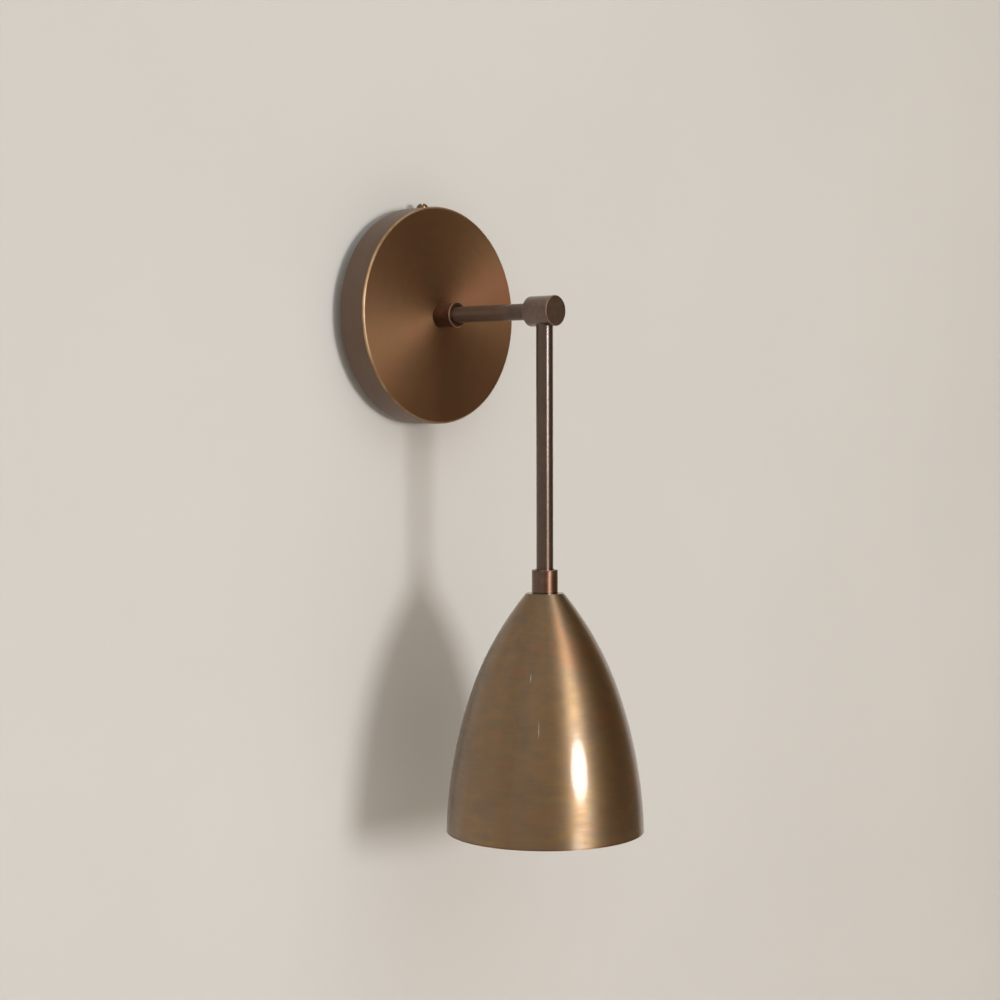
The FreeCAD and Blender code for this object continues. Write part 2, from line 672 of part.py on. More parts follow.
def knuckle():
    """Solid turned cylinder: the arm's thread from behind, the rod from below, a drilled way between."""
    back_y = f"{AXIS_Y} + knuckle_back"
    solid = turned(
        "knuckle_solid",
        [
            ("0", "0"),
            ("knuckle_radius - knuckle_chamfer", "0"),
            ("knuckle_radius", "knuckle_chamfer"),
            ("knuckle_radius", "knuckle_length - knuckle_chamfer"),
            ("knuckle_radius - knuckle_chamfer", "knuckle_length"),
            ("0", "knuckle_length"),
        ],
    )
    place(solid, "out", y=back_y)
    holes = [
        cylinder("arm_thread", THREAD, "knuckle_grip + knuckle_end_gap", "out", y=back_y),
        cylinder("rod_socket", THREAD, "knuckle_radius", "down", y=AXIS_Y, z="-(tube_radius + rod_top_gap)"),
        cylinder("level_wireway", "wireway_radius", "knuckle_back + wireway_radius", "out", y=back_y),
        cylinder("upright_wireway", "wireway_radius", "knuckle_radius", "down", y=AXIS_Y),
    ]
    node(cut("knuckle_drilled", solid, holes), "knuckle")


def shade():
    """Spun bell: two smooth curves from the open rim to a flat top with a hole for the rod."""
    bell = turned(
        "bell",
        [
            ("shade_rim_radius - shade_wall", "0"),
            ("shade_rim_radius", "0"),
            ("shade_waist_radius", "shade_waist_height"),
            ("shade_top_radius", "shade_height"),
            (TUBE_HOLE, "shade_height"),
            (TUBE_HOLE, "shade_height - shade_wall"),
            ("shade_top_radius - shade_wall / 2", "shade_height - shade_wall"),
            ("shade_waist_radius - shade_wall", "shade_waist_height"),
        ],
        {
            1: ("shade_lower_curve", "left"),
            2: ("shade_upper_curve", "left"),
            6: ("shade_upper_curve", "right"),
            7: ("shade_lower_curve", "right"),
        },
    )
    node(place(bell, "up", y=AXIS_Y, z=f"-({SHADE_TOP} + shade_height)"), "shade")


def lampholder():
    """Cap, body, porcelain, screw shell, centre contact and terminals, hung on the rod's lower thread."""
    dome_end = "(holder_neck_length + holder_dome_height)"
    cap = turned(
        "cap",
        [
            (THREAD, "0"),
            ("holder_neck_radius", "0"),
            ("holder_neck_radius", "holder_neck_length"),
            ("holder_radius", dome_end),
            ("holder_radius", CAP_LENGTH),
            ("holder_radius - holder_wall", CAP_LENGTH),
            ("holder_radius - holder_wall", dome_end),
            ("holder_neck_radius", "holder_neck_length + holder_wall"),
            (THREAD, "holder_neck_length + holder_wall"),
        ],
        {
            2: ("holder_dome_curve", "left"),
            6: ("holder_dome_curve - holder_wall", "right"),
        },
    )
    node(place(cap, "down", y=AXIS_Y, z=f"-{HOLDER_TOP}"), "lampholder_cap")

    outer = "(holder_radius - holder_wall - holder_fit)"
    end = "(body_lap + body_length)"
    body = turned(
        "body",
        [
            (f"{outer} - holder_wall", "0"),
            (outer, "0"),
            (outer, "body_lap"),
            ("holder_radius", "body_lap"),
            ("holder_radius", "body_lap + body_bead"),
            (outer, "body_lap + body_bead"),
            (outer, end),
            ("body_mouth_radius", end),
            ("body_mouth_radius", f"{end} - body_lip"),
            (f"{outer} - holder_wall", f"{end} - body_lip"),
        ],
    )
    node(place(body, "down", y=AXIS_Y, z=f"body_lap - {CAP_EDGE}"), "lampholder_body")

    insulator_end = "(insulator_rise + body_length - body_lip)"
    insulator = turned(
        "insulator",
        [
            ("0", "0"),
            (f"{outer} - holder_wall - holder_fit", "0"),
            (f"{outer} - holder_wall - holder_fit", insulator_end),
            ("insulator_bore", insulator_end),
            ("insulator_bore", "insulator_floor"),
            ("0", "insulator_floor"),
        ],
    )
    node(place(insulator, "down", y=AXIS_Y, z=f"-{INSULATOR_TOP}"), "lampholder_insulator")

    shell = turned(
        "shell",
        [
            ("shell_floor_hole", "0"),
            ("shell_radius", "0"),
            ("shell_radius", "shell_length"),
            ("shell_radius - shell_wall", "shell_length"),
            ("shell_radius - shell_wall", "shell_wall"),
            ("shell_floor_hole", "shell_wall"),
        ],
    )
    node(place(shell, "down", y=AXIS_Y, z=f"-{INSULATOR_FACE}"), "lampholder_screw_shell")

    # tongue: flat on the porcelain at one side, sprung down to its tip at the other
    tongue = bent_strip(
        "tongue",
        [
            ("0", "tongue_drop"),
            ("0", "tongue_drop - tongue_thickness"),
            ("tongue_reach", "tongue_drop - tongue_thickness"),
            ("2 * tongue_reach", "0"),
            ("2 * tongue_reach", "tongue_thickness"),
            ("tongue_reach", "tongue_drop"),
        ],
        {},
        "tongue_width",
        "XZ_Plane",
    )
    node(place(tongue, "up", x="-tongue_reach", y=AXIS_Y, z=f"-({INSULATOR_FACE} + tongue_drop)"),
         "lampholder_centre_contact")

    posts = []
    screws = []
    post_top = f"(post_height - {INSULATOR_TOP})"
    for side, name in ((-1, "live"), (1, "neutral")):
        x = f"{side} * post_offset"
        post = cylinder(f"{name}_post", "post_radius", "post_height", "up", x=x, y=AXIS_Y, z=f"-{INSULATOR_TOP}")
        bore = cylinder(f"{name}_post_bore", "post_bore", "post_bore_depth", "down", x=x, y=AXIS_Y, z=post_top)
        tap = cylinder(f"{name}_post_tap", "post_screw_radius + thread_gap", "post_radius", "out", x=x, y=AXIS_Y,
                       z=f"{post_top} - post_screw_drop")
        posts.append(cut(f"{name}_tapped_post", post, [bore, tap]))
        screws.append(screw(f"{name}_post_screw", "post_screw_radius",
                            "(post_radius - wire_radius - wire_clearance)", "post_screw_head_radius",
                            "post_screw_head_height", "out", x, f"{AXIS_Y} - wire_radius - wire_clearance",
                            f"{post_top} - post_screw_drop"))
    node(group("posts", posts), "lampholder_terminals")
    node(group("post_screws", screws), "lampholder_terminal_screws")


def wires():
    """Live and neutral, from the terminal block along the arm, and on from the knuckle to the lampholder."""
    way_y = "-(bracket_thickness + block_way_depth)"
    meeting_y = f"({AXIS_Y} + knuckle_back - knuckle_grip + wire_lap)"
    rod_end = f"-({SHADE_TOP} + rod_tail)"
    post_top = f"(post_height - {INSULATOR_TOP})"
    for side, name in ((-1, "live"), (1, "neutral")):
        in_tube = f"{side} * wire_offset"
        at_block = f"{side} * block_way_offset"
        at_post = f"{side} * post_offset"
        arm_route = [
            (at_block, way_y, "-(block_top + block_screw_inset + clamp_screw_radius + wire_clearance)"),
            (at_block, way_y, "block_tube_inset - block_top"),
            (in_tube, "-(bracket_thickness + wire_radius + wire_clearance + wire_bend_room)", "0"),
            (in_tube, f"{meeting_y} + wire_end_gap", "0"),
        ]
        node(wire(f"{name}_in_arm", arm_route), f"arm_{name}_wire")
        drop_route = [
            (in_tube, meeting_y, "0"),
            (in_tube, AXIS_Y, "0"),
            (in_tube, AXIS_Y, f"{rod_end} - wire_bend_room"),
            (at_post, AXIS_Y, f"{post_top} + post_wire_rise"),
            (at_post, AXIS_Y, f"{post_top} - post_bore_depth + wire_end_gap"),
        ]
        node(wire(f"{name}_in_drop", drop_route), f"drop_{name}_wire")


# ---------------------------------------------------------------- bulb


def bulb():
    """Golf-ball bulb with a 27 mm screw cap, short enough to stay inside the shade."""
    contact = cylinder("solder", "bulb_contact_radius", "bulb_contact_height", "down", y=AXIS_Y, z=f"-{BULB_TOP}")
    node(contact, "bulb_contact")

    inside = "(bulb_cap_radius - bulb_cap_wall - holder_fit)"
    insulator = turned(
        "bulb_cone",
        [
            ("0", "0"),
            ("bulb_shoulder_radius", "0"),
            (inside, "bulb_shoulder_height"),
            (inside, "bulb_shoulder_height + bulb_insulator_skirt"),
            ("0", "bulb_shoulder_height + bulb_insulator_skirt"),
        ],
    )
    node(place(insulator, "down", y=AXIS_Y, z=f"-({BULB_TOP} + bulb_contact_height)"), "bulb_insulator")

    cap = turned(
        "bulb_shell",
        [
            ("bulb_cap_radius - bulb_cap_wall", "0"),
            ("bulb_cap_radius", "0"),
            ("bulb_cap_radius", "bulb_cap_length"),
            ("bulb_cap_radius - bulb_cap_wall", "bulb_cap_length"),
        ],
    )
    node(place(cap, "down", y=AXIS_Y, z=f"-{BULB_CAP_TOP}"), "bulb_cap")

    # heights are above the ball's centre, raised by the ball's radius; neck and ball share a tangent
    apart = "(bulb_radius + bulb_neck_curve)"
    neck_foot = f"(sqrt({apart}^2 - (bulb_neck_radius + bulb_neck_curve)^2))"
    tangent_r = f"((bulb_neck_radius + bulb_neck_curve) * bulb_radius / {apart})"
    tangent_z = f"({neck_foot} * bulb_radius / {apart})"
    inner_share = f"((bulb_radius - bulb_glass_wall) / {apart})"
    glass = turned(
        "bulb_ball",
        [
            ("0", "0"),
            (tangent_r, f"bulb_radius + {tangent_z}"),
            ("bulb_neck_radius", f"bulb_radius + {neck_foot}"),
            ("bulb_neck_radius", "bulb_radius + bulb_drop + bulb_neck_lap"),
            ("bulb_neck_radius - bulb_glass_wall", "bulb_radius + bulb_drop + bulb_neck_lap"),
            ("bulb_neck_radius - bulb_glass_wall", f"bulb_radius + {neck_foot}"),
            (f"(bulb_neck_radius + bulb_neck_curve) * {inner_share}",
             f"bulb_radius + {neck_foot} * {inner_share}"),
            ("0", "bulb_glass_wall"),
        ],
        {
            0: ("bulb_radius", "left"),
            1: ("bulb_neck_curve", "right"),
            5: ("bulb_neck_curve + bulb_glass_wall", "left"),
            6: ("bulb_radius - bulb_glass_wall", "right"),
        },
    )
    node(place(glass, "up", y=AXIS_Y, z=f"-({BULB_CENTRE} + bulb_radius)"), "bulb_glass")

    upper_disc = "(stem_flare_height + stem_length)"
    lower_disc = f"({upper_disc} + stem_disc_height + filament_length)"
    stem = turned(
        "stem",
        [
            ("0", "0"),
            ("stem_flare_radius", "0"),
            ("stem_flare_radius", "stem_flare_height"),
            ("stem_foot_radius", "stem_flare_height + stem_foot_depth"),
            ("stem_foot_radius", upper_disc),
            ("stem_disc_radius", upper_disc),
            ("stem_disc_radius", f"{upper_disc} + stem_disc_height"),
            ("stem_rod_radius", f"{upper_disc} + stem_disc_height"),
            ("stem_rod_radius", lower_disc),
            ("stem_disc_radius", lower_disc),
            ("stem_disc_radius", f"{lower_disc} + stem_disc_height"),
            ("0", f"{lower_disc} + stem_disc_height"),
        ],
    )
    stem_top = f"({BULB_CAP_EDGE} - bulb_neck_lap)"
    node(place(stem, "down", y=AXIS_Y, z=f"-{stem_top}"), "bulb_stem")
    strips = []
    for number in range(FILAMENTS):
        angle = f"{number * 360 / FILAMENTS}deg"
        strips.append(cylinder(f"strip_{number}", "filament_radius", "filament_length", "down",
                               x=f"filament_offset * cos({angle})", y=f"{AXIS_Y} + filament_offset * sin({angle})",
                               z=f"-({stem_top} + {upper_disc} + stem_disc_height)"))
    node(group("strips", strips), "bulb_filaments")


wall_bracket()
bracket_pin()
canopy()
canopy_set_screw()
arm_and_rod()
collar("canopy_collar", "out", y="-canopy_depth")
collar("shade_collar", "up", y=AXIS_Y, z=f"-{SHADE_TOP}")
washer("canopy_washer", "out", y=f"washer_thickness - {CANOPY_INSIDE}")
nut("canopy_nut", "out", y=f"washer_thickness + nut_thickness - {CANOPY_INSIDE}")
terminal_block()
earth_terminal()
knuckle()
shade()
washer("shade_washer", "down", y=AXIS_Y, z=f"-({SHADE_TOP} + shade_wall)")
nut("shade_nut", "down", y=AXIS_Y, z=f"-({SHADE_TOP} + shade_wall + washer_thickness)")
lampholder()
wires()
bulb()
doc.recompute()

# ---------------------------------------------------------------- checks and files

for item in doc.Objects:
    if "Invalid" in item.State or "Error" in item.State:
        raise RuntimeError(f"{item.Label} is {item.State}")
os.makedirs("parts", exist_ok=True)
for piece in sub_parts:
    if piece.Shape.isNull() or not piece.Shape.isValid():
        raise RuntimeError(f"{piece.Label} has no valid shape")
    if not piece.Shape.Solids:
        raise RuntimeError(f"{piece.Label} has no solid")
    print(f"{piece.Label:28s} solids {len(piece.Shape.Solids)}  volume {piece.Shape.Volume:10.1f} mm3")
for piece in sub_parts:
    piece.Shape.exportStep(f"parts/{piece.Label}.step")
print(len(sub_parts), "nodes")
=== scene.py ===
"""Looks of a hanging pendant wall sconce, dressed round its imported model. Metres, +Z up, the wall is Y = 0."""
import math

import bpy
from mathutils import Matrix, Vector


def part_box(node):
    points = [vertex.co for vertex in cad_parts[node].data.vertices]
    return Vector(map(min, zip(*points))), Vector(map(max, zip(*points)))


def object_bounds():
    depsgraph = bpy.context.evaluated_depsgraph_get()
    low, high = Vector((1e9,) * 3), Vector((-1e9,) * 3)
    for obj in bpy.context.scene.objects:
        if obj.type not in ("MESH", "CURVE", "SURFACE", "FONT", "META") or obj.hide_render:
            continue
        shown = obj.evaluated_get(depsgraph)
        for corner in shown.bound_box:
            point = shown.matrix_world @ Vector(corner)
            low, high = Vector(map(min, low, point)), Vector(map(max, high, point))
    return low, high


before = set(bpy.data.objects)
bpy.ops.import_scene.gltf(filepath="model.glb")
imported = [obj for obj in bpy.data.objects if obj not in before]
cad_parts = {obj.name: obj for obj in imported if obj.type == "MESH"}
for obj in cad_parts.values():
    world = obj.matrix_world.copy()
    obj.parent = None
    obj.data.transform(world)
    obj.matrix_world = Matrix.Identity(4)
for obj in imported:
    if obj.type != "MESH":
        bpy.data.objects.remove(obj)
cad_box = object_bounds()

# ---------------------------------------------------------------- places read from the imported model

MM = 0.001
DROP_Y = sum(corner.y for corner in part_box("drop_rod")) / 2  # the drop rod's axis
SHADE_LOW, SHADE_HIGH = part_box("shade")
CANOPY_LOW, CANOPY_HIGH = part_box("canopy")
CANOPY_RADIUS = CANOPY_HIGH.x

# ---------------------------------------------------------------- node graphs


def linear(red, green, blue):
    """A colour written in 0 to 255 display values, as the linear colour that nodes take."""
    return tuple(
        part / 255 / 12.92 if part <= 10 else ((part / 255 + 0.055) / 1.055) ** 2.4 for part in (red, green, blue)
    ) + (1.0,)


class Graph:
    """The nodes of a material or world. Any value may be a number, a colour or another node's socket."""

    def __init__(self, owner, coordinates="Object"):
        self.owner = owner
        owner.use_nodes = True
        self.tree = owner.node_tree
        self.tree.nodes.clear()
        self.coordinates = self.add("ShaderNodeTexCoord").outputs[coordinates]

    def add(self, kind, inputs=(), **settings):
        made = self.tree.nodes.new(kind)
        for name, setting in settings.items():
            setattr(made, name, setting)
        for key, value in dict(inputs).items():
            self.feed(made.inputs[key], value)
        return made

    def feed(self, socket, value):
        if isinstance(value, bpy.types.NodeSocket):
            self.tree.links.new(value, socket)
        else:
            socket.default_value = value

    def math(self, operation, *values):
        return self.add("ShaderNodeMath", enumerate(values), operation=operation).outputs[0]

    def vector(self, operation, *values):
        made = self.add("ShaderNodeVectorMath", operation=operation)
        for number, value in enumerate(values):
            self.feed(made.inputs["Scale"] if operation == "SCALE" and number == 1 else made.inputs[number], value)
        return made.outputs["Value" if operation in ("LENGTH", "DOT_PRODUCT") else "Vector"]

    def split(self, vector):
        return self.add("ShaderNodeSeparateXYZ", {0: vector}).outputs

    def join(self, x, y, z):
        return self.add("ShaderNodeCombineXYZ", {0: x, 1: y, 2: z}).outputs[0]

    def noise(self, vector, scale=1.0, detail=2.0, roughness=0.5, distortion=0.0):
        inputs = {"Vector": vector, "Scale": scale, "Detail": detail, "Roughness": roughness,
                  "Distortion": distortion}
        return self.add("ShaderNodeTexNoise", inputs).outputs["Fac"]

    def span(self, value, low, high, to_low=0.0, to_high=1.0, smooth=False):
        inputs = {"Value": value, "From Min": low, "From Max": high, "To Min": to_low, "To Max": to_high}
        kind = "SMOOTHSTEP" if smooth else "LINEAR"
        return self.add("ShaderNodeMapRange", inputs, interpolation_type=kind).outputs["Result"]

    def ramp(self, value, *stops):
        made = self.add("ShaderNodeValToRGB", {0: value})
        elements = made.color_ramp.elements
        while len(elements) < len(stops):
            elements.new(1.0)
        for element, (position, colour) in zip(elements, stops):
            element.position = position
            element.color = colour
        return made.outputs["Color"]

    def mix(self, share, first, second):
        made = self.add("ShaderNodeMix", data_type="RGBA")
        for socket, value in zip((made.inputs[0], made.inputs[6], made.inputs[7]), (share, first, second)):
            self.feed(socket, value)
        return made.outputs[2]

    def bump(self, height, distance, strength):
        inputs = {"Height": height, "Distance": distance, "Strength": strength}
        return self.add("ShaderNodeBump", inputs).outputs["Normal"]

    def near(self, value, centre, reach):
        """1 where the value is at the centre, falling to 0 at the reach on either side."""
        away = self.math("ABSOLUTE", self.math("SUBTRACT", value, centre))
        return self.span(away, 0.0, reach, 1.0, 0.0, smooth=True)

    def principled(self, **inputs):
        """The principled shader, with an input's spaces written as underscores."""
        named = {key.replace("_", " "): value for key, value in inputs.items()}
        return self.add("ShaderNodeBsdfPrincipled", named).outputs[0]

    def show(self, surface, output="ShaderNodeOutputMaterial"):
        self.add(output, {"Surface": surface})
        return self.owner

    def finish(self, **inputs):
        return self.show(self.principled(**inputs))


def material(name):
    return Graph(bpy.data.materials.new(name))


class Lathe:
    """Coordinates on a turned piece: round its axis, out from it and along it.

    The axis is "y" for the arm's and "z" for the drop rod's.
    """

    def __init__(self, graph, axis):
        centre = (0.0, DROP_Y, 0.0) if axis == "z" else (0.0, 0.0, 0.0)
        x, y, z = graph.split(graph.vector("SUBTRACT", graph.coordinates, centre))
        if axis == "z":
            outward = graph.join(x, y, 0.0)
            around = graph.join(graph.math("MULTIPLY", y, -1.0), x, 0.0)
            self.along = z
            self.axis = (0.0, 0.0, 1.0)
        else:
            outward = graph.join(x, 0.0, z)
            around = graph.join(z, 0.0, graph.math("MULTIPLY", x, -1.0))
            self.along = y
            self.axis = (0.0, 1.0, 0.0)
        self.radius = graph.vector("LENGTH", outward)
        self.outward = graph.vector("NORMALIZE", outward)
        self.around = graph.vector("NORMALIZE", around)
        self.graph = graph

    def across_marks(self, lean, swirl=0.0):
        """The direction across the lathe's marks: along the axis, leaning outwards, and turned round it by a swirl."""
        g = self.graph
        leaning = g.vector("ADD", g.vector("SCALE", self.outward, lean), g.vector("SCALE", self.around, swirl))
        return g.vector("NORMALIZE", g.vector("ADD", leaning, self.axis))

    def marks(self, profile, round_scale, profile_scale, detail=2.0, roughness=0.6):
        """Fine streaks that run round the piece. Profile is the way from one streak to the next."""
        turned = self.graph.vector("SCALE", self.outward, round_scale)
        along = self.graph.vector("SCALE", self.axis, self.graph.math("MULTIPLY", profile, profile_scale))
        return self.graph.noise(self.graph.vector("ADD", turned, along), 1.0, detail, roughness)


def direction(azimuth, elevation):
    """The way from the object towards a place at this azimuth (0 is straight out from the wall) and elevation."""
    a, e = math.radians(azimuth), math.radians(elevation)
    return Vector((math.sin(a) * math.cos(e), -math.cos(a) * math.cos(e), math.sin(e)))


# ---------------------------------------------------------------- metals

SCRATCHES = (  # short upright marks on the shade: azimuth, height and half length
    (-61.6, -202.0 * MM, 3.0 * MM),
    (-53.6, -228.6 * MM, 6.0 * MM),
)
CANOPY_SWIRL = 0.40  # the hand-brushed face's marks wind inwards: their slope to a circle
# pale copper on the turned pieces' edges: partly rubbed metal, partly a painted highlight
RUBBED_AND_HIGHLIGHT_COPPER = linear(214, 164, 128)
RUBBED_AND_HIGHLIGHT_REACH = 0.45 * MM  # how far the rubbed edge and its painted highlight spread from an edge
SCRATCH_REACH = 0.45 * MM  # half the width of a scratch
MARK_DEPTH = 0.01 * MM  # the depth of the marks that a lathe or a brush leaves in metal
COLLAR_TONES = (linear(88, 61, 47), linear(99, 71, 55), linear(110, 80, 62))
KNUCKLE_TONES = (linear(97, 78, 68), linear(105, 85, 74), linear(113, 91, 79))


def shade_brass():
    """Spun brass under a mottled antique lacquer: soft broad bands, coppery and olive blotches, round marks.

    A painted contact shadow darkens the corner round the collar's foot; the rim is coppery; fine grit specks stand
    out.
    """
    g = material("shade_brass")
    lathe = Lathe(g, "z")
    bands = lathe.marks(lathe.along, 2.6, 6.0, 1.0, 0.4)
    blotches = lathe.marks(lathe.along, 1.3, 46.0, 3.0, 0.5)
    stains = lathe.marks(g.math("ADD", lathe.along, 0.7), 2.0, 78.0, 3.0, 0.5)
    fine = lathe.marks(lathe.along, 5.0, 1900.0, 3.0)
    coarse = lathe.marks(lathe.along, 2.0, 420.0, 2.0)
    colour = g.ramp(blotches, (0.34, linear(134, 114, 92)), (0.45, linear(150, 122, 87)),
                    (0.54, linear(139, 117, 91)), (0.64, linear(154, 117, 85)))
    colour = g.mix(g.span(bands, 0.42, 0.60, 0.0, 0.35), colour, linear(132, 101, 69))
    colour = g.mix(g.span(stains, 0.50, 0.70, 0.0, 0.36, smooth=True), colour, linear(122, 101, 80))
    colour = g.mix(g.span(fine, 0.35, 0.7, 0.0, 0.10), colour, linear(104, 84, 64))
    # painted contact shadow: dark in the corner round the collar's foot
    painted_corner_shadow = g.math("MULTIPLY", g.span(lathe.radius, 8.4 * MM, 7.2 * MM),
                       g.span(lathe.along, SHADE_HIGH.z - 1.5 * MM, SHADE_HIGH.z - 0.5 * MM))
    colour = g.mix(g.math("MULTIPLY", painted_corner_shadow, 0.85), colour, linear(38, 26, 19))
    rim = g.span(lathe.along, SHADE_LOW.z + 1.2 * MM, SHADE_LOW.z + 0.3 * MM, 0.0, 0.6)
    colour = g.mix(rim, colour, linear(118, 72, 46))
    roughness = g.math("ADD", g.span(coarse, 0.3, 0.7, 0.46, 0.51), g.span(fine, 0.3, 0.7, -0.03, 0.03))
    for azimuth, place, length in SCRATCHES:
        aside = g.vector("DOT_PRODUCT", g.vector("SUBTRACT", g.coordinates, (0.0, DROP_Y, 0.0)),
                         direction(azimuth + 90.0, 0.0))
        facing = g.vector("DOT_PRODUCT", lathe.outward, direction(azimuth, 0.0))
        mark = g.math("MULTIPLY", g.near(aside, 0.0, SCRATCH_REACH), g.near(lathe.along, place, length))
        mark = g.math("MULTIPLY", mark, g.span(facing, 0.8, 0.95))
        colour = g.mix(g.math("MULTIPLY", mark, g.span(coarse, 0.35, 0.6, 0.5, 1.0)), colour, linear(205, 206, 208))
    grit = g.noise(g.coordinates, 1000.0, 1.0, 0.5)
    specks = g.span(grit, 0.73, 0.78, smooth=True)
    height = g.math("ADD", g.math("MULTIPLY", fine, 0.35), g.math("MULTIPLY", coarse, 0.2))
    height = g.math("ADD", height, g.math("MULTIPLY", specks, 6.0))
    return g.finish(Base_Color=colour, Metallic=1.0, Roughness=roughness, Anisotropic=0.85,
                    Tangent=lathe.across_marks(-0.3), Normal=g.bump(height, MARK_DEPTH, 0.5),
                    Coat_Weight=0.75, Coat_Roughness=0.12, Coat_IOR=1.4)


def canopy_brass():
    """The cup: brushed round on face and side; its front edge is pale, partly rubbed metal, partly a painted
    highlight.
    """
    g = material("canopy_brass")
    lathe = Lathe(g, "y")
    profile = g.math("SUBTRACT", lathe.radius, lathe.along)
    blotches = g.noise(g.coordinates, 26.0, 3.0, 0.5, 0.3)
    clouds = g.noise(g.coordinates, 60.0, 4.0, 0.6)
    fine = lathe.marks(profile, 6.0, 2100.0, 3.0)
    coarse = lathe.marks(profile, 2.5, 500.0, 2.0)
    face = g.ramp(blotches, (0.32, linear(117, 86, 60)), (0.48, linear(120, 88, 60)), (0.64, linear(124, 85, 60)))
    side = g.ramp(blotches, (0.35, linear(112, 92, 80)), (0.65, linear(118, 98, 84)))
    on_face = g.span(lathe.along, CANOPY_LOW.y + 2.5 * MM, CANOPY_LOW.y + 0.8 * MM)
    colour = g.mix(on_face, side, face)
    colour = g.mix(g.span(clouds, 0.35, 0.65, 0.0, 0.18), colour, linear(100, 74, 50))
    # pale front edge: partly rubbed metal, partly a painted highlight
    rubbed_edge_and_highlight = g.math("MULTIPLY", g.near(profile, CANOPY_RADIUS - CANOPY_LOW.y - 0.8 * MM, 0.65 * MM),
                  g.span(clouds, 0.3, 0.6, 0.2, 0.7))
    colour = g.mix(rubbed_edge_and_highlight, colour, linear(206, 176, 138))
    roughness = g.math("ADD", g.span(coarse, 0.3, 0.7, 0.52, 0.58), g.span(fine, 0.3, 0.7, -0.03, 0.03))
    height = g.math("ADD", g.math("MULTIPLY", fine, 0.3), g.math("MULTIPLY", coarse, 0.15))
    swirl = g.math("MULTIPLY", on_face, CANOPY_SWIRL)
    return g.finish(Base_Color=colour, Metallic=1.0, Roughness=roughness, Anisotropic=0.62,
                    Tangent=lathe.across_marks(1.0, swirl), Normal=g.bump(height, MARK_DEPTH, 0.6),
                    Coat_Weight=0.4, Coat_Roughness=0.25, Coat_IOR=1.4)


def tube_bronze(name, axis):
    """Tube polished round and round, with a dark bronze patina."""
    g = material(name)
    lathe = Lathe(g, axis)
    clouds = g.noise(g.coordinates, 90.0, 4.0, 0.6, 0.3)
    fine = lathe.marks(lathe.along, 4.0, 2800.0, 2.0)
    colour = g.ramp(clouds, (0.34, linear(99, 81, 72)), (0.5, linear(106, 87, 76)), (0.66, linear(113, 91, 77)))
    colour = g.mix(g.span(fine, 0.35, 0.7, 0.0, 0.16), colour, linear(86, 69, 60))
    roughness = g.math("ADD", g.span(clouds, 0.3, 0.7, 0.46, 0.52), g.span(fine, 0.3, 0.7, -0.03, 0.03))
    return g.finish(Base_Color=colour, Metallic=1.0, Roughness=roughness, Anisotropic=0.9,
                    Tangent=lathe.across_marks(0.0), Normal=g.bump(fine, MARK_DEPTH, 0.5),
                    Coat_Weight=0.7, Coat_Roughness=0.16, Coat_IOR=1.4)


def turned_bronze(name, axis, tones, edges, roughness, brushed=0.6, foot=None):
    """A small turned piece: round marks, a mottled patina and pale edges,
    partly rubbed metal and partly a painted highlight.

    Tones are its dark, middle and pale colour. Edges are the radius and the place along the axis of each pale
    circle. The foot is where a painted contact shadow darkens the piece.
    """
    g = material(name)
    lathe = Lathe(g, axis)
    clouds = g.noise(g.coordinates, 160.0, 4.0, 0.6, 0.2)
    fine = lathe.marks(g.math("SUBTRACT", lathe.radius, lathe.along), 5.0, 2600.0, 2.0)
    dark, middle, pale = tones
    colour = g.ramp(clouds, (0.33, dark), (0.5, middle), (0.67, pale))
    rubbed_edges_and_highlight = 0.0
    # pale edge circles: partly rubbed metal, partly a painted highlight
    for radius, along in edges:
        away = g.vector("LENGTH", g.join(g.math("SUBTRACT", lathe.radius, radius),
                                         g.math("SUBTRACT", lathe.along, along), 0.0))
        rubbed_edges_and_highlight = g.math("MAXIMUM", rubbed_edges_and_highlight, g.span(away, 0.2 * RUBBED_AND_HIGHLIGHT_REACH, RUBBED_AND_HIGHLIGHT_REACH, 1.0, 0.0, smooth=True))
    colour = g.mix(g.math("MULTIPLY", rubbed_edges_and_highlight, g.span(clouds, 0.3, 0.6, 0.5, 1.0)), colour, RUBBED_AND_HIGHLIGHT_COPPER)
    # painted contact shadow: a dark ring round the foot, where the piece stands on another
    if foot is not None:
        colour = g.mix(g.math("MULTIPLY", g.near(lathe.along, foot, 1.3 * MM), 0.9), colour, linear(34, 24, 19))
    rough = g.math("ADD", g.span(clouds, 0.3, 0.7, roughness - 0.03, roughness + 0.03),
                   g.span(fine, 0.3, 0.7, -0.04, 0.04))
    return g.finish(Base_Color=colour, Metallic=1.0, Roughness=rough, Anisotropic=brushed,
                    Tangent=lathe.across_marks(1.0), Normal=g.bump(fine, MARK_DEPTH, 0.8),
                    Coat_Weight=0.9, Coat_Roughness=0.14, Coat_IOR=1.45)


def plain_metal(name, colour, dark, roughness):
    """Metal with a cloudy finish, for fixings and fittings."""
    g = material(name)
    clouds = g.noise(g.coordinates, 300.0, 4.0, 0.6, 0.3)
    scratches = g.noise(g.vector("MULTIPLY", g.coordinates, (1.0, 1.0, 12.0)), 400.0, 3.0, 0.6)
    tone = g.ramp(clouds, (0.3, linear(*dark)), (0.6, linear(*colour)))
    rough = g.math("ADD", g.span(clouds, 0.3, 0.7, roughness - 0.05, roughness + 0.06),
                   g.span(scratches, 0.3, 0.7, -0.05, 0.05))
    return g.finish(Base_Color=tone, Metallic=1.0, Roughness=rough, Normal=g.bump(scratches, MARK_DEPTH, 0.7))


# ---------------------------------------------------------------- other materials


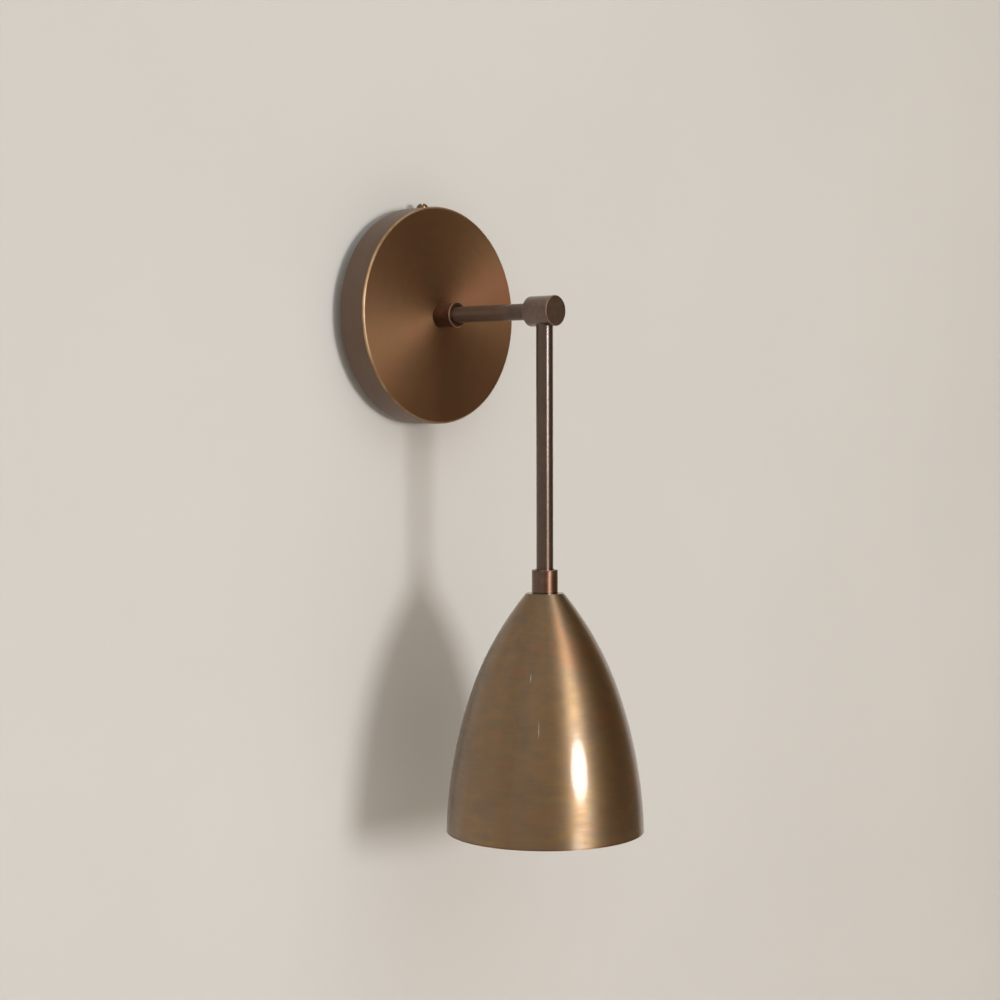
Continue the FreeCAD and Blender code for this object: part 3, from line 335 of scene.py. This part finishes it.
def porcelain():
    g = material("porcelain")
    clouds = g.noise(g.coordinates, 220.0, 4.0, 0.6)
    pits = g.noise(g.coordinates, 1500.0, 2.0, 0.5)
    colour = g.ramp(clouds, (0.3, linear(226, 223, 214)), (0.7, linear(240, 238, 231)))
    return g.finish(Base_Color=colour, Roughness=g.span(clouds, 0.3, 0.7, 0.14, 0.24), IOR=1.5,
                    Normal=g.bump(pits, 0.02 * MM, 0.5), Coat_Weight=0.4, Coat_Roughness=0.05)


def moulded(name, colour, roughness):
    """Moulded plastic: a hint of flow marks and a fine grain."""
    g = material(name)
    flow = g.noise(g.coordinates, 180.0, 3.0, 0.5, 0.8)
    grain = g.noise(g.coordinates, 4000.0, 2.0, 0.5)
    low = tuple(0.86 * part for part in colour)
    tone = g.ramp(flow, (0.3, linear(*low)), (0.65, linear(*colour)))
    rough = g.span(flow, 0.3, 0.7, roughness - 0.05, roughness + 0.07)
    return g.finish(Base_Color=tone, Roughness=rough, Normal=g.bump(grain, 0.02 * MM, 0.5))


def opal_glass():
    """White glass, a little warm, satin, with light passing softly under its surface."""
    g = material("opal_glass")
    clouds = g.noise(g.coordinates, 90.0, 3.0, 0.5)
    colour = g.ramp(clouds, (0.3, linear(238, 235, 226)), (0.7, linear(246, 244, 238)))
    return g.finish(Base_Color=colour, Roughness=g.span(clouds, 0.3, 0.7, 0.22, 0.3), IOR=1.5,
                    Subsurface_Weight=0.35, Subsurface_Radius=(1.0, 0.9, 0.8), Subsurface_Scale=3 * MM,
                    Coat_Weight=0.3, Coat_Roughness=0.12)


def clear_glass():
    g = material("clear_glass")
    waves = g.noise(g.coordinates, 260.0, 2.0, 0.5)
    tint = g.ramp(waves, (0.3, linear(236, 242, 240)), (0.7, linear(246, 249, 248)))
    return g.finish(Base_Color=tint, Roughness=0.03, IOR=1.5, Transmission_Weight=1.0,
                    Normal=g.bump(waves, 0.05 * MM, 0.4))


# ---------------------------------------------------------------- dressing the CAD nodes


def dress(dressing, *names):
    for name in names:
        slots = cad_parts[name].data.materials
        slots.clear()
        slots.append(dressing)


def end_circles(node, axis):
    """The circles at both ends of a turned node: their radius and their place along the axis."""
    low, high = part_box(node)
    radius = (high.x - low.x) / 2
    ends = (low.z, high.z) if axis == "z" else (low.y, high.y)
    return [(radius, end) for end in ends]


dress(shade_brass(), "shade")
dress(canopy_brass(), "canopy")
dress(tube_bronze("arm_brass", "y"), "arm_tube")
dress(tube_bronze("drop_brass", "z"), "drop_rod")
dress(turned_bronze("knuckle_brass", "y", KNUCKLE_TONES, end_circles("knuckle", "y"), 0.42, brushed=0.0), "knuckle")
dress(turned_bronze("collar_brass", "y", COLLAR_TONES, end_circles("canopy_collar", "y"), 0.36), "canopy_collar")
dress(turned_bronze("lower_collar_brass", "z", COLLAR_TONES, end_circles("shade_collar", "z")[1:], 0.36,
                    brushed=0.5, foot=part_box("shade_collar")[0].z), "shade_collar")
dress(plain_metal("screw_bronze", (150, 116, 84), (96, 70, 52), 0.3), "canopy_set_screw")
dress(plain_metal("zinc_steel", (198, 198, 194), (158, 159, 158), 0.36),
      "wall_bracket", "bracket_pin", "canopy_washer", "canopy_nut", "shade_washer", "shade_nut", "earth_screw",
      "earth_washer", "terminal_block_fixing")
dress(plain_metal("holder_brass", (214, 182, 122), (176, 142, 86), 0.28), "lampholder_cap", "lampholder_body")
dress(plain_metal("contact_brass", (222, 190, 128), (186, 150, 92), 0.26), "lampholder_screw_shell",
      "lampholder_centre_contact", "lampholder_terminals", "lampholder_terminal_screws", "terminal_block_tubes",
      "terminal_block_screws")
dress(plain_metal("bulb_nickel", (206, 204, 198), (176, 174, 168), 0.22), "bulb_cap")
dress(plain_metal("solder", (196, 196, 196), (150, 150, 152), 0.4), "bulb_contact")
dress(porcelain(), "lampholder_insulator")
dress(moulded("nylon", (232, 231, 225), 0.45), "terminal_block")
dress(moulded("live_insulation", (104, 62, 38), 0.35), "arm_live_wire", "drop_live_wire")
dress(moulded("neutral_insulation", (46, 84, 160), 0.35), "arm_neutral_wire", "drop_neutral_wire")
dress(opal_glass(), "bulb_glass")
dress(moulded("black_glass", (26, 25, 27), 0.12), "bulb_insulator")
dress(clear_glass(), "bulb_stem")
dress(moulded("filament", (236, 206, 110), 0.6), "bulb_filaments")

# ---------------------------------------------------------------- stage

FLOOR_Z = -1.5
WALL_HALF_WIDTH = 4.0
WALL_TOP = 2.4
WALL_Y = 0.1 * MM  # the wall's face, just behind the bracket's back
FLOOR_REACH = 6.0
LIT_THROUGH = 40 * MM  # radius behind the canopy where light passes through the wall
BRACKET_BEND = 3 * MM  # outside of the bend at each end of the bracket


def paint(g, colour):
    """Plain matt paint with a hint of unevenness."""
    uneven = g.noise(g.coordinates, 3.0, 3.0, 0.5)
    low = tuple(0.985 * part for part in colour)
    tone = g.ramp(uneven, (0.35, linear(*low)), (0.65, linear(*colour)))
    return g.principled(Base_Color=tone, Roughness=0.9, IOR=1.3)


def wall_paint():
    """Paint that is seen through from behind, and lets light in there to the canopy's inside and the bracket."""
    g = material("wall_paint")
    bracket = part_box("wall_bracket")[1]
    x, _, z = g.split(g.coordinates)
    on_strap = g.math("MULTIPLY", g.math("LESS_THAN", g.math("ABSOLUTE", x), bracket.x),
                      g.math("LESS_THAN", g.math("ABSOLUTE", z), bracket.z - BRACKET_BEND))
    in_middle = g.math("LESS_THAN", g.vector("LENGTH", g.join(x, 0.0, z)), LIT_THROUGH)
    seen = g.add("ShaderNodeLightPath").outputs["Is Camera Ray"]
    lit_through = g.math("MULTIPLY", g.math("MAXIMUM", on_strap, in_middle), g.math("SUBTRACT", 1.0, seen))
    clear = g.math("MAXIMUM", lit_through, g.add("ShaderNodeNewGeometry").outputs["Backfacing"])
    through = g.add("ShaderNodeBsdfTransparent").outputs[0]
    return g.show(g.add("ShaderNodeMixShader", {0: clear, 1: paint(g, (219, 216, 213)), 2: through}).outputs[0])


def floor_paint():
    g = material("floor_paint")
    return g.show(paint(g, (214, 209, 201)))


def stage_piece(name, corners, dressing):
    mesh = bpy.data.meshes.new(name)
    mesh.from_pydata(corners, [], [(0, 1, 2, 3)])
    mesh.materials.append(dressing)
    piece = bpy.data.objects.new(name, mesh)
    bpy.context.scene.collection.objects.link(piece)


SIDES = ((-1, -1), (1, -1), (1, 1), (-1, 1))
stage_piece("wall", [(x * WALL_HALF_WIDTH, WALL_Y, WALL_TOP if z > 0 else FLOOR_Z) for x, z in SIDES], wall_paint())
stage_piece("floor", [(x * FLOOR_REACH, y * FLOOR_REACH, FLOOR_Z) for x, y in SIDES], floor_paint())

# ---------------------------------------------------------------- light

MIDDLE = (cad_box[0] + cad_box[1]) / 2


def softbox(name, azimuth, elevation, distance, width, height, level, colour, mirrored=True, lights=True):
    """An oval soft light aimed at the object. Width and height are the angles that it fills, in degrees.

    Its level is the light that it gives on a surface facing it, as a share of white. Metal can mirror it or not,
    and it can light dull surfaces or not.
    """
    lamp = bpy.data.lights.new(name, "AREA")
    lamp.shape = "ELLIPSE"
    lamp.size = 2 * distance * math.tan(math.radians(width / 2))
    lamp.size_y = 2 * distance * math.tan(math.radians(height / 2))
    lamp.energy = level * math.pi**2 * distance**2
    lamp.color = colour
    piece = bpy.data.objects.new(name, lamp)
    way = direction(azimuth, elevation)
    piece.location = MIDDLE + way * distance
    piece.rotation_mode = "QUATERNION"
    piece.rotation_quaternion = way.to_track_quat("Z", "Y")
    piece.visible_camera = False
    piece.visible_glossy = mirrored
    piece.visible_diffuse = lights
    bpy.context.scene.collection.objects.link(piece)


softbox("key", -4.2, 2.8, 2.6, 15.5, 12.0, 0.442, (1.0, 1.0, 1.0), mirrored=False)
softbox("sky", -30.0, 40.0, 2.6, 60.0, 50.0, 0.125, (0.55, 0.84, 1.0), mirrored=False)
softbox("key_mirrored", -6.5, 6.5, 2.6, 21.0, 15.5, 0.85, (0.88, 0.92, 1.0), lights=False)
softbox("low_mirrored", -12.0, -11.5, 2.4, 14.0, 4.0, 0.035, (1.0, 0.96, 0.90), lights=False)

PALE_SIDE = direction(-130.0, 0.0)  # the room is pale on this side and overhead, and warmer in front
PALE_TONE = (0.76, 0.75, 0.745, 1.0)
WARM_TONE = (0.67, 0.555, 0.385, 1.0)
POSTS = (  # soft upright shades in the pale part: two ways that each runs through, its reach and its strength
    (direction(-66.0, 46.0), direction(-92.0, 19.0), 0.12, 0.36),
    (direction(-38.0, 0.0), direction(-40.0, 40.0), 0.11, 0.30),
)
POST_TONE = (0.30, 0.22, 0.10, 1.0)
DARK_CORNER = direction(76.0, 2.0)  # the room is darkest in this corner
CORNER_TONE = (0.155, 0.106, 0.056, 1.0)
LOW_TONE = (0.27, 0.18, 0.09, 1.0)  # below, where the room isn't pale
BLACK = (0.0, 0.0, 0.0, 1.0)
BACKDROP = (0.78, 0.76, 0.73, 1.0)  # what the camera sees past the wall and the floor


def room():
    """The room round the light: what lights it evenly and what its metal mirrors."""
    world = bpy.data.worlds.new("room")
    bpy.context.scene.world = world
    g = Graph(world, "Generated")
    ways = g.coordinates
    _, towards_wall, upwards = g.split(ways)
    pale = g.span(g.vector("DOT_PRODUCT", ways, PALE_SIDE), -0.15, 0.70, smooth=True)
    overhead = g.span(upwards, 0.15, 0.75, smooth=True)
    pale = g.math("MAXIMUM", pale, g.math("MULTIPLY", overhead, 0.8))
    colour = g.mix(pale, WARM_TONE, PALE_TONE)
    for low, high, reach, strength in POSTS:
        across = g.near(g.vector("DOT_PRODUCT", ways, low.cross(high).normalized()), 0.0, reach)
        on_this_side = g.span(g.vector("DOT_PRODUCT", ways, low), 0.0, 0.3)
        colour = g.mix(g.math("MULTIPLY", g.math("MULTIPLY", across, on_this_side), strength), colour, POST_TONE)
    dark = g.span(g.vector("DOT_PRODUCT", ways, DARK_CORNER), 0.36, 0.90, smooth=True)
    colour = g.mix(dark, colour, CORNER_TONE)
    below = g.math("MULTIPLY", g.span(upwards, 0.12, -0.10, smooth=True), g.math("SUBTRACT", 1.0, pale))
    colour = g.mix(g.math("MULTIPLY", below, 0.55), colour, LOW_TONE)
    colour = g.mix(g.span(towards_wall, 0.0, 0.15, 0.0, 0.3), colour, BLACK)  # dimmer behind the wall
    seen = g.add("ShaderNodeLightPath").outputs["Is Camera Ray"]
    colour = g.mix(seen, colour, BACKDROP)
    g.show(g.add("ShaderNodeBackground", {"Color": colour}).outputs[0], "ShaderNodeOutputWorld")


room()

# ---------------------------------------------------------------- camera at the photograph's angle

CAMERA_TARGET = Vector((4.834, -67.314, -107.348)) * MM
CAMERA_AZIMUTH = -48.088
CAMERA_ELEVATION = 2.699
CAMERA_ROLL = -0.13
CAMERA_DISTANCE = 1154.7 * MM
CAMERA_LENS = 72.0  # millimetres
CAMERA_SENSOR = 36.0  # millimetres wide


def camera():
    data = bpy.data.cameras.new("camera")
    data.sensor_width = CAMERA_SENSOR
    data.lens = CAMERA_LENS
    piece = bpy.data.objects.new("camera", data)
    bpy.context.scene.collection.objects.link(piece)
    back = direction(CAMERA_AZIMUTH, CAMERA_ELEVATION)
    right = Vector((math.cos(math.radians(CAMERA_AZIMUTH)), math.sin(math.radians(CAMERA_AZIMUTH)), 0.0))
    level = Matrix((right, back.cross(right), back)).transposed()
    place = Matrix.Translation(CAMERA_TARGET + back * CAMERA_DISTANCE)
    piece.matrix_world = place @ level.to_4x4() @ Matrix.Rotation(math.radians(CAMERA_ROLL), 4, "Z")
    bpy.context.scene.camera = piece


camera()
bpy.context.scene.view_settings.view_transform = "Standard"
